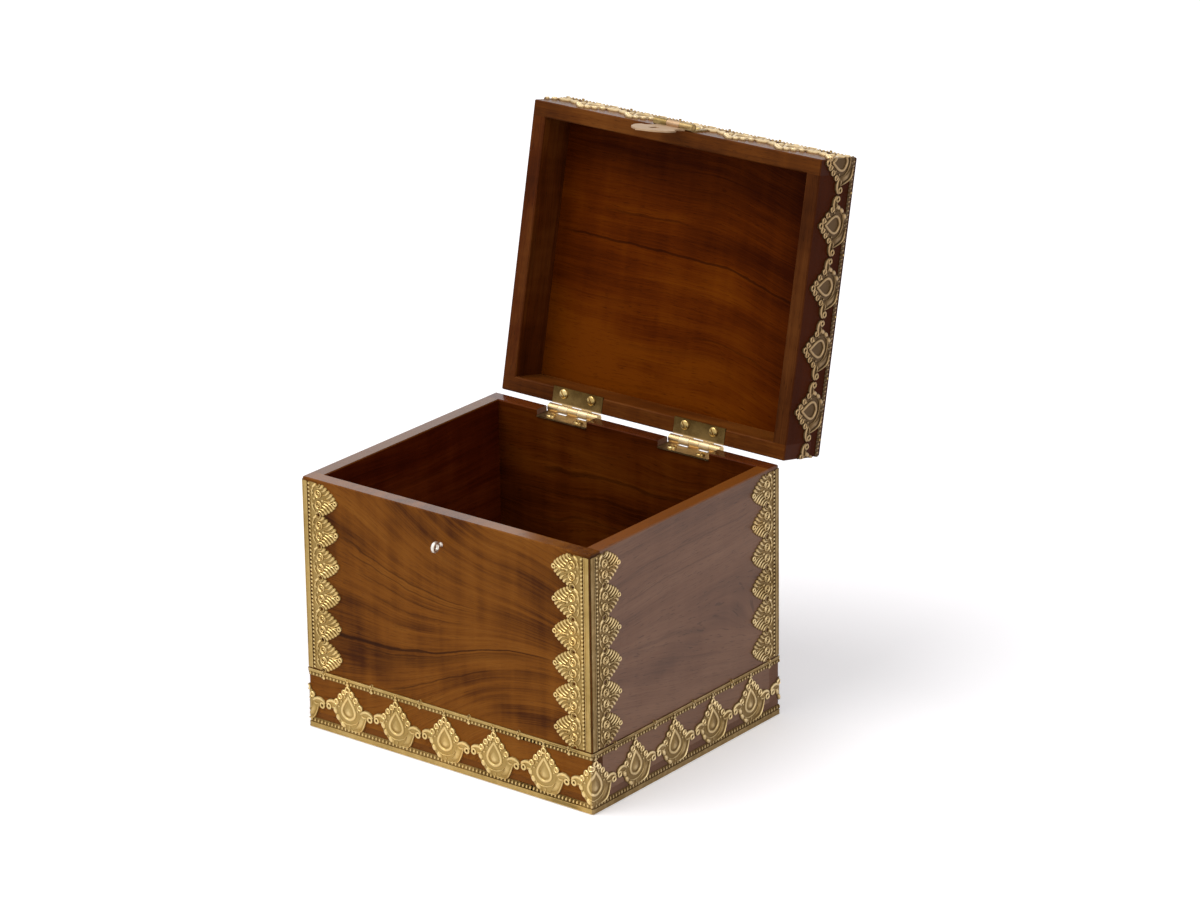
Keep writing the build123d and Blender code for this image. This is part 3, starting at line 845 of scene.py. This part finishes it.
def woodFinish(name, tones, turn=(0, 0, 0), face="Z", flow=None, shade=None, marks=(), wave=5.0, figure=0.28,
               rings=0.4, specular=0.04, lacquer=None, gloss=1.0, ends=(), wander=6.0, seed=0):
    roughness = grain["roughness"]
    material, graph, shader = finish(name, roughness, 0.0, specular)
    dark, middle, light = tones
    swing = Matrix.Rotation(turn[0], 3, "X")
    home = Matrix.Rotation(turn[2], 3, "Z") @ (hinge - swing @ hinge) / mm
    board = graph.add("ShaderNodeMapping", (), {
        "Vector": graph.add("ShaderNodeTexCoord", output="Object"),
        "Location": home, "Rotation": turn, "Scale": (1 / mm,) * 3,
    })
    along = graph.add("ShaderNodeSeparateXYZ", (), [board], "X")
    across = along.output(face)
    deep = along.output("Y" if face == "Z" else "Z") + seed * 61
    spot = graph.add("ShaderNodeCombineXYZ", (), [along, across, deep])
    # the grain's own height on the board: the figure bends it, then slow and quick waves
    height = flow(along, across) if flow else across
    height = height + (graph.noise(spot, grain["slowWave"], 1) - 0.5) * wave * 2
    height = height + (graph.noise(spot, grain["quickWave"], 2) - 0.5) * wave * 0.35
    lie = graph.add("ShaderNodeCombineXYZ", (), [along, height, deep])
    bands = graph.noise(lie, grain["band"], 2)
    streaks = graph.noise(lie, grain["streak"], 3, 0.6)
    threads = graph.noise(lie, grain["thread"], 2)
    curl = graph.noise(spot, grain["curl"], 2)
    cloud = graph.noise(spot, grain["cloud"], 2)
    share = (bands - 0.5) * grainShare["band"] + (streaks - 0.5) * grainShare["streak"]
    share = share + (threads - 0.5) * grainShare["thread"] + (curl - 0.5) * figure + 0.5
    share = share + (cloud - 0.5) * grainShare["cloud"]
    if shade:
        share = share + shade(along, across)
    colour = graph.ramp(share, [(0.15, dark), (0.5, middle), (0.85, light)])
    # growth lines: each darkens slowly and ends sharply, and many fade out
    saw = (height * (1 / grain["ringSpacing"]) + (bands - 0.5) * 2 + (threads - 0.5) * 0.3).unary("FRACT")
    line = saw.rise(0.7, 0.95) * (1 - saw.rise(0.95, 0.99))
    line = line * graph.noise(lie, grain["lineFading"], 1).rise(0.45, 0.7) * rings
    wobble = (graph.noise(spot, grain["wobble"], 3) - 0.5) * wander
    for level, half, start, end, strength in marks:
        offset = (height - level + wobble).unary("ABSOLUTE")
        mark = (1 - offset.rise(half * 0.4, half)) * along.rise(start, start + 18)
        mark = mark * (1 - along.rise(end - 18, end))
        line = graph.add("ShaderNodeMath", {"operation": "MAXIMUM"}, [line, mark * strength])
    pits = graph.noise(lie, grain["pore"], 1).rise(0.6, 0.72)
    ink = [part * 0.35 for part in dark]
    colour = graph.mix(line, colour, ink)
    for direction, shown in ends:
        # a face that looks this way gets tones of its own: another cut of the board, and on some boards
        # painted shade and painted sheen for how that face is lit
        deeper, paler = ([part * times for part in shown] for times in (0.78, 1.2))
        facingTone = graph.ramp(share, [(0.1, deeper), (0.9, paler)])
        colour = graph.mix(graph.facing(direction, 0.6, 0.8), colour, facingTone)
    graph.dress(shader, {
        "Base Color": graph.mix(pits * 0.42, colour, ink),
        "Roughness": roughness - 0.04 + streaks * 0.1,
        "Normal": graph.bump(streaks * 0.3 - pits, 0.25, 0.00008),
    })
    if lacquer:
        # rubbed lacquer on the face that looks this way
        graph.dress(shader, {"Coat Weight": graph.facing(lacquer, 0.8, 0.95) * gloss, "Coat Roughness": 0.16})
    return material


def paint(material, *nodeNames):
    for nodeName in nodeNames:
        for slot in frame["nodes"][nodeName].material_slots:
            slot.material = material


up = (0, 0, 1)
sideways = (0, 0, -quarter)
lidTurn = (openAngle, 0, 0)
lidSideways = (openAngle, 0, -quarter)
lidFrontFace = opened.to_3x3() @ Vector((0, -1, 0))


def frontFlow(along, across):
    # above the middle the lines fall steeply to the right, below it they climb to meet them
    narrowing = 1 - along.rise(-95, 35) * 0.65
    tilt = along.rise(10, 100) * across.rise(64, 100) * 22
    return (across - 59 - along.rise(-40, 70) * 20 + tilt) / narrowing + 60


def frontShade(along, across):
    # a darker wavy belt low on the board, and darker towards both edges
    belt = (1 - across.rise(52, 66)) * across.rise(34, 44) * -0.15
    edges = (1 - along.rise(-80, -20)) * 0.15 + along.rise(25, 75) * across.rise(60, 90) * 0.2
    return belt - edges + (1 - across.rise(28, 36)) * 0.16 + 0.03


def rightFlow(along, across):
    # level below the rim, falling to the back lower down
    back = along + 75
    return across + back * (1 - across.rise(45, 95)) * 0.2 - back * across.rise(60, 110) * 0.04


def rightShade(along, across):
    # painted light: lighter low down, against the shade near the floor
    return (1 - across.rise(28, 60)) * 0.3


def panelFlow(along, across):
    # the lines run level and fall away on the right
    return along.rise(15, 100) * 14 - across


def panelShade(along, across):
    # darker on the right; painted shade makes it darkest towards the front rail, and painted light lightens
    # the hinge side, where the lid's own shade falls
    front = (1 - across.rise(-66, -25)) * 0.14
    return (1 - along.rise(0, 75)) * 0.24 - front + across.rise(-10, 60) * 0.3 - 0.25


toRight = (1, 0, 0)
toLeft = (-1, 0, 0)
# painted sheen: right-facing end faces get greyer tones, to go with the right board's sheen
rightEnd = (toRight, (0.16, 0.082, 0.053))
leftEnd = (toLeft, (0.15, 0.047, 0.0065))
# painted shade: right-facing faces of the lid, on its shaded right side, are very dark
lidRightEnd = (toRight, (0.046, 0.0085, 0.0015))
lidLeftEnd = (toLeft, (0.08, 0.0175, 0.0022))
woods = {
    # tones are dark, middle and light; a mark is level, half width, start, end and strength
    "front_board": dict(
        name="frontWood", tones=[(0.06, 0.015, 0.002), (0.196, 0.062, 0.0065), (0.262, 0.093, 0.012)],
        flow=frontFlow, shade=frontShade, figure=0.4, rings=0.22, wave=3.0, lacquer=up,
        ends=[(toRight, (0.066, 0.0226, 0.0059)), leftEnd],
        marks=[(54.8, 1.5, -84, 72, 0.72), (50.5, 0.9, -72, 60, 0.5), (46, 7, -55, 60, 0.22),
               (24, 1.0, -45, 40, 0.5), (113, 1.0, -75, 25, 0.5), (107, 0.8, -72, 25, 0.45),
               (98, 0.9, -60, 10, 0.36), (88, 0.8, -55, 20, 0.3)]),
    # painted shade: the back board's tones are dark for the shade inside the box
    "back_board": dict(
        name="backWood", tones=[(0.03, 0.004, 0.0004), (0.1, 0.0185, 0.001), (0.17, 0.042, 0.003)],
        figure=0.3, rings=0.3, wave=9.0, lacquer=up, ends=[rightEnd, leftEnd],
        marks=[(104, 1.6, -60, 90, 0.4), (92, 1.2, -80, 60, 0.32), (80, 0.9, -70, 80, 0.28)]),
    # painted shade: the left board's inner face is dark for the shade inside the box; its outer face takes
    # the lighter left-end tones
    "left_board": dict(
        name="leftWood", tones=[(0.03, 0.003, 0.0006), (0.07, 0.0085, 0.001), (0.13, 0.022, 0.003)],
        turn=sideways, lacquer=up, ends=[leftEnd, (up, (0.14, 0.047, 0.008))]),
    # partly painted sheen: the right board's tones are greyer than the front's, for the pale sheen on this
    # face; its inner face takes dark tones as painted shade
    "right_board": dict(
        name="rightWood", tones=[(0.085, 0.037, 0.02), (0.142, 0.065, 0.035), (0.185, 0.092, 0.052)],
        turn=sideways, flow=rightFlow, shade=rightShade, figure=0.2, rings=0.25, wave=4.0, specular=0.25,
        ends=[(up, (0.165, 0.047, 0.0042)), (toLeft, (0.085, 0.0195, 0.0021))], wander=1.6,
        marks=[(112, 0.6, -50, 60, 0.26), (100, 0.6, -60, 40, 0.26), (78, 0.7, -60, 20, 0.22)]),
    # painted shade: the floor board is dark for the shade inside the box; its front edge takes lighter tones
    "floor_board": dict(
        name="floorWood", tones=[(0.04, 0.008, 0.001), (0.09, 0.022, 0.003), (0.17, 0.05, 0.008)],
        face="Y", ends=[rightEnd, leftEnd, ((0, -1, 0), (0.17, 0.057, 0.009))]),
    "lid_top_panel": dict(
        name="lidPanelWood", tones=[(0.042, 0.0055, 0.0001), (0.105, 0.0178, 0.0003), (0.17, 0.037, 0.001)],
        turn=lidTurn, face="Y", flow=panelFlow, shade=panelShade, figure=0.3, rings=0.2, specular=0.015,
        ends=[lidRightEnd, lidLeftEnd], wander=4.0,
        marks=[(9, 0.9, -85, 85, 0.62), (24, 0.8, -60, 10, 0.4), (-31, 0.8, 0, 80, 0.35)]),
    "lid_front_board": dict(
        name="lidFrontWood", tones=[(0.05, 0.012, 0.002), (0.122, 0.034, 0.0045), (0.2, 0.066, 0.011)],
        turn=lidTurn, lacquer=tuple(lidFrontFace), gloss=0.3, rings=0.25, ends=[lidRightEnd, lidLeftEnd]),
    "lid_back_board": dict(
        name="lidBackWood", tones=[(0.05, 0.012, 0.002), (0.115, 0.03, 0.004), (0.2, 0.065, 0.01)],
        turn=lidTurn, rings=0.3, ends=[lidRightEnd, lidLeftEnd]),
    # partly painted shade: dark tones, set between the shaded inner wall and the rim
    "lid_left_board": dict(
        name="lidLeftWood", tones=[(0.03, 0.006, 0.001), (0.08, 0.0165, 0.002), (0.15, 0.044, 0.007)],
        turn=lidSideways, rings=0.3, ends=[lidLeftEnd]),
    # painted shade: the lid's right board is dark for the shade on that side
    "lid_right_board": dict(
        name="lidRightWood", tones=[(0.03, 0.008, 0.003), (0.08, 0.022, 0.005), (0.14, 0.045, 0.01)],
        turn=lidSideways, rings=0.3, specular=0.015, ends=[lidRightEnd]),
}
for seed, (nodeName, wood) in enumerate(woods.items(), 1):
    paint(woodFinish(seed=seed, **wood), nodeName)

baseBrass = stampedBrass("baseBrass", **stamped["base"])
lidBrass = stampedBrass("lidBrass", **stamped["lid"])
bodyLeafBrass = sheetBrass(
    "bodyLeafBrass", (0.5, 0.36, 0.19), (0.3, 0.2, 0.085), 0.38,
    barrel=(0.0026, 0.02, (0.66, 0.48, 0.25), (0.9, 0.85, 0.75)))
# painted shade: the lid's leaves are a much darker copy of the body leaves' brass
lidLeafBrass = sheetBrass(
    "lidLeafBrass", (0.25, 0.16, 0.055), (0.15, 0.09, 0.028), 0.45,
    barrel=(0.0026, 0.013, (0.8, 0.64, 0.4), (0.6, 0.55, 0.45)))
haspBrass = sheetBrass("haspBrass", (0.47, 0.325, 0.2), (0.42, 0.28, 0.165), 0.55)
haspLeafBrass = sheetBrass("haspLeafBrass", (0.38, 0.27, 0.12), (0.24, 0.16, 0.055), 0.42)
screwBrass = sheetBrass("screwBrass", (0.74, 0.56, 0.25), (0.5, 0.34, 0.12), 0.3)
tackBrass = sheetBrass("tackBrass", (0.58, 0.42, 0.18), (0.34, 0.23, 0.09), 0.4)
eyeSteel = sheetBrass("eyeSteel", (0.82, 0.78, 0.7), (0.62, 0.57, 0.5), 0.42)
paint(bodyLeafBrass, "left_hinge_body_leaf", "right_hinge_body_leaf")
paint(lidLeafBrass, "left_hinge_lid_leaf", "right_hinge_lid_leaf")
paint(haspBrass, "hasp_plate")
paint(haspLeafBrass, "hasp_leaf")
paint(tackBrass, "left_hinge_pin", "right_hinge_pin", "hasp_pin")
paint(tackBrass, "base_ribbon_tacks", "corner_strip_tacks", "lid_ribbon_tacks")
print("finishes made")

upperBand = ribbon["upperLow"] + ribbon["upperBeadBand"]
drawings = {
    "bud": drawBud,
    "openBud": lambda flat: drawBud(flat, False),
    "lowerBand": drawRail(0, ribbon["plainBand"], "low"),
    "upperBand": drawRail(upperBand, upperBand + ribbon["upperPlainBand"], "high"),
    "lowerBed": drawBeadBed(ribbon["beadBand"]),
    "upperBed": drawBeadBed(ribbon["upperBeadBand"]),
    "lowerBead": drawBead(ribbon["beadBand"] - 0.3),
    "upperBead": drawBead(ribbon["upperBeadBand"] - 0.1),
    "tie": drawTie,
    "ear": drawEar,
    "palmette": drawPalmette,
    "stripBand": drawStripBand,
    "stripBead": drawStripBead,
}
units = {name: stamp(name + "Unit", draw) for name, draw in drawings.items()}

lidTrim = {"top": 165.0, "inset": 2.0, "haspCentre": -1.5, "haspRoom": 12.6, "haspRoomTop": 148.4}
ribbonFoot = lidTrim["top"] - lidTrim["inset"] + ribbon["plainBand"]
haspRoom = (
    (lidTrim["haspCentre"] - lidTrim["haspRoom"]) * mm, (lidTrim["haspCentre"] + lidTrim["haspRoom"]) * mm,
    (ribbonFoot - lidTrim["haspRoomTop"]) * mm,
)
makeRibbon("baseRibbon", "base_ribbon", "chest", baseBrass)
makeRibbon("lidRibbon", "lid_ribbon", "lid", lidBrass, False, ribbonFoot * mm, haspRoom)
print("ribbons made")

upright = Matrix.Rotation(quarter, 4, "X")
frontFace = Matrix.Translation((0, -depth / 2, 0)) @ upright
rightFace = Matrix.Translation((width / 2, 0, 0)) @ Matrix.Rotation(quarter, 4, "Z") @ upright
leftFace = Matrix.Translation((-width / 2, 0, 0)) @ Matrix.Rotation(-quarter, 4, "Z") @ upright
stripPlaces = {
    # the face, half of its width, and 1 where the leaves point right
    "front_left_strip": (frontFace, width / 2, 1),
    "front_right_strip": (frontFace, width / 2, -1),
    "left_front_strip": (leftFace, depth / 2, -1),
    "left_back_strip": (leftFace, depth / 2, 1),
    "right_front_strip": (rightFace, depth / 2, 1),
    "right_back_strip": (rightFace, depth / 2, -1),
}
for node, (face, half, hand) in stripPlaces.items():
    words = node.split("_")
    edge = -hand * (half - strip["gap"] * mm)
    place = face @ Matrix.Translation((edge, strip["foot"] * mm, 0))
    makeStrip(words[0] + words[1].capitalize() + "Palmettes", node, place, hand)
print("strips made")

# Slotted screws, drawn with the head on top of the wood, and the eye that the hasp closes over
screws = {
    "hinge": {"head": 2.5, "rise": 1.3, "slotWide": 0.55, "slotDeep": 0.75, "shank": 1.2, "length": 9.0},
    "hasp": {"head": 2.1, "rise": 1.1, "slotWide": 0.5, "slotDeep": 0.6, "shank": 0.9, "length": 6.5},
    "hingePlaces": (-49.4, 28.1),  # the left screw of each pair
    "hingeSpacing": 17.8,
    "hingeReach": 7.9,  # from the hinge's axis
    "hingeFace": 1.45,  # the leaf's inner face, off the axis
    "haspSpacing": 15.0,
    "haspPlace": (-76.3, 143.3),
}
eye = {
    "centre": (-1.5, -79.7, 118.3), "radius": 2.05, "wire": 0.92, "shankRadius": 0.75, "shank": 5.2,
    "collar": 1.3,
}


def drawScrew(plan):
    def draw(flat):
        head, rise, half = plan["head"], plan["rise"], plan["slotWide"] / 2
        # a low side, a rounded crown and a slot pressed into it
        rim = circle((0, 0), head, 28)
        loops = [[flat.verts.new((x, y, 0)) for x, y in rim]]
        for shrink, lift in ((1.0, 0.35), (0.94, 0.62), (0.8, 0.82), (0.58, 0.95), (0.3, 1.0)):
            loops.append([flat.verts.new((x * shrink, y * shrink, rise * lift)) for x, y in rim])
        skin(flat, loops)
        flat.faces.new(loops[-1])
        flat.faces.new(reversed(loops[0]))
        for x in (-half - 0.06, -half, half, half + 0.06):
            cut(flat, (x, 0, 0), (1, 0, 0))
        floor = rise - plan["slotDeep"]
        for vert in flat.verts:
            if abs(vert.co.x) <= half + 1e-4 and vert.co.z > floor:
                vert.co.z = floor
        bmesh.ops.dissolve_degenerate(flat, dist=1e-5, edges=flat.edges[:])
        # the shank and its point
        shank, length = plan["shank"], plan["length"]
        rings = [(shank, 0.0), (shank, 2.0 - length), (0.4 * shank, -length)]
        loops = [[flat.verts.new((x, y, z)) for x, y in circle((0, 0), radius, 10)] for radius, z in rings]
        skin(flat, loops)
        flat.faces.new(loops[0])
        flat.faces.new(reversed(loops[-1]))
    return draw


def makeScrews(name, node, body, plan, starts, spacing, place):
    # pairs of screws in a line; each is turned its own way
    units["screw"] = stamp(plan + "Unit", drawScrew(screws[plan]))
    piece = repeated(name, screwBrass, {
        "Pair " + str(number): ("screw", 2, (spacing, 0, 0), (start, 0, 0), math.pi)
        for number, start in enumerate(starts, 1)
    })
    bpy.data.objects.remove(units.pop("screw"))
    piece.data.transform(place)
    fitted(smoothed(piece, 30), node, body)


hingeRow = Matrix.Translation(hinge + Vector((0, -screws["hingeReach"] * mm, 0)))
inBody = hingeRow @ Matrix.Translation((0, 0, -screws["hingeFace"] * mm))
onLeaf = Matrix.Translation((0, 0, screws["hingeFace"] * mm)) @ Matrix.Rotation(math.pi, 4, "X")
inLid = opened @ hingeRow @ onLeaf
haspSpot = lidTrim["haspCentre"], *screws["haspPlace"]
inHasp = opened @ Matrix.Translation([part * mm for part in haspSpot]) @ upright
pairs, spacing = screws["hingePlaces"], screws["hingeSpacing"]
makeScrews("bodyLeafScrews", "body_leaf_screws", "chest", "hinge", pairs, spacing, inBody)
makeScrews("lidLeafScrews", "lid_leaf_screws", "lid", "hinge", pairs, spacing, inLid)
spacing = screws["haspSpacing"]
makeScrews("haspLeafScrews", "hasp_screws", "lid", "hasp", [-spacing / 2], spacing, inHasp)


def drawEye(flat):
    loops = []
    for step in range(36):
        turn = 2 * math.pi * step / 36
        outward = Vector((0, math.cos(turn), math.sin(turn)))
        loops.append([
            flat.verts.new(outward * (eye["radius"] + out) + Vector((aside, 0, 0)))
            for out, aside in circle((0, 0), eye["wire"], 14)
        ])
    skin(flat, loops + loops[:1])
    # the shank runs into the wood through a small collar
    face = -depth / 2 / mm - eye["centre"][1]
    shank, collar = eye["shankRadius"], eye["collar"]
    tip = face + eye["shank"]
    profile = [
        (0.7, eye["radius"] - 0.3), (shank, face - 0.9), (collar, face - 0.25), (collar, face),
        (shank, face), (shank, tip), (0.2, tip + 0.8),
    ]
    rings = [[flat.verts.new((x, y, z)) for x, z in circle((0, 0), radius, 14)] for radius, y in profile]
    skin(flat, rings)
    flat.faces.new(rings[0])
    flat.faces.new(reversed(rings[-1]))
    bmesh.ops.translate(flat, vec=eye["centre"], verts=flat.verts)


screwEye = show(stamp("screwEye", drawEye))
screwEye.data.materials.append(eyeSteel)
fitted(smoothed(screwEye, 40), "screw_eye", "chest")
for unit in units.values():
    bpy.data.objects.remove(unit)
print("screws and eye made")

# Camera, floor and light
view = {
    "lens": 147.31,
    "sensor": 36.0,
    "azimuth": 38.367,
    "elevation": 20.456,
    "roll": -0.789,
    "distance": 2.43576,
    "aim": (0, 0, 0.09),
    "aside": 0.02871,
    "above": 0.0512,
}


def toward(azimuth, elevation):
    # the way to a spot at this azimuth, from the front towards the right, and elevation
    azimuth, elevation = math.radians(azimuth), math.radians(elevation)
    return Vector((
        math.sin(azimuth) * math.cos(elevation), -math.cos(azimuth) * math.cos(elevation), math.sin(elevation)
    ))


def placeCamera():
    back = toward(view["azimuth"], view["elevation"])
    roll = math.radians(view["roll"])
    right = (-back).cross(Vector((0, 0, 1))).normalized()
    upward = right.cross(-back)
    level = right * math.cos(roll) + upward * math.sin(roll)
    plumb = upward * math.cos(roll) - right * math.sin(roll)
    spot = Vector(view["aim"]) + back * view["distance"] + level * view["aside"] + plumb * view["above"]
    camera = show(bpy.data.objects.new("camera", bpy.data.cameras.new("camera")))
    camera.data.lens = view["lens"]
    camera.data.sensor_width = view["sensor"]
    camera.matrix_world = Matrix.Translation(spot) @ Matrix((level, plumb, back)).transposed().to_4x4()
    bpy.context.scene.camera = camera


floorLook = {"size": 12.0, "colour": (0.88, 0.86, 0.88), "roughness": 0.8, "glow": 0.3}


def makeFloor():
    half = floorLook["size"] / 2
    corners = [(-half, -half, 0), (half, -half, 0), (half, half, 0), (-half, half, 0)]
    mesh = bpy.data.meshes.new("floor")
    mesh.from_pydata(corners, [], [(0, 1, 2, 3)])
    floor = show(bpy.data.objects.new("floor", mesh))
    material, graph, shader = finish("paleFloor", floorLook["roughness"], 0.0, 0.0)
    graph.dress(shader, {"Base Color": floorLook["colour"]})
    glow = graph.seen() * floorLook["glow"]
    glow = graph.add("ShaderNodeEmission", (), {"Color": (1, 1, 1), "Strength": glow})
    both = graph.add("ShaderNodeAddShader", (), [Term(graph, shader.outputs[0]), glow])
    graph.dress(graph.tree.nodes["Material Output"], {"Surface": both})
    mesh.materials.append(material)


lamps = {
    # azimuth, elevation, strength, and softness in degrees
    "key": (-42, 63, 1.65, 40),
    "fill": (70, 35, 0.7, 60),
}
backdrop = {"glow": 1.0, "light": 0.45}


def makeLights():
    for name, (azimuth, elevation, strength, softness) in lamps.items():
        lamp = bpy.data.lights.new(name, "SUN")
        lamp.energy = strength
        lamp.angle = math.radians(softness)
        sun = show(bpy.data.objects.new(name, lamp))
        sun.matrix_world = toward(azimuth, elevation).to_track_quat("Z", "Y").to_matrix().to_4x4()
    world = bpy.data.worlds.new("studio")
    world.use_nodes = True
    bpy.context.scene.world = world
    graph = Graph(world.node_tree)
    seen = graph.add("ShaderNodeMath", {"operation": "MINIMUM"}, [graph.seen(), 1.0])
    strength = seen * (backdrop["glow"] - backdrop["light"]) + backdrop["light"]
    graph.dress(world.node_tree.nodes["Background"], {"Color": (1, 1, 1), "Strength": strength})


placeCamera()
makeFloor()
makeLights()
bpy.context.scene.view_settings.view_transform = "Standard"
print("camera, floor and light made")
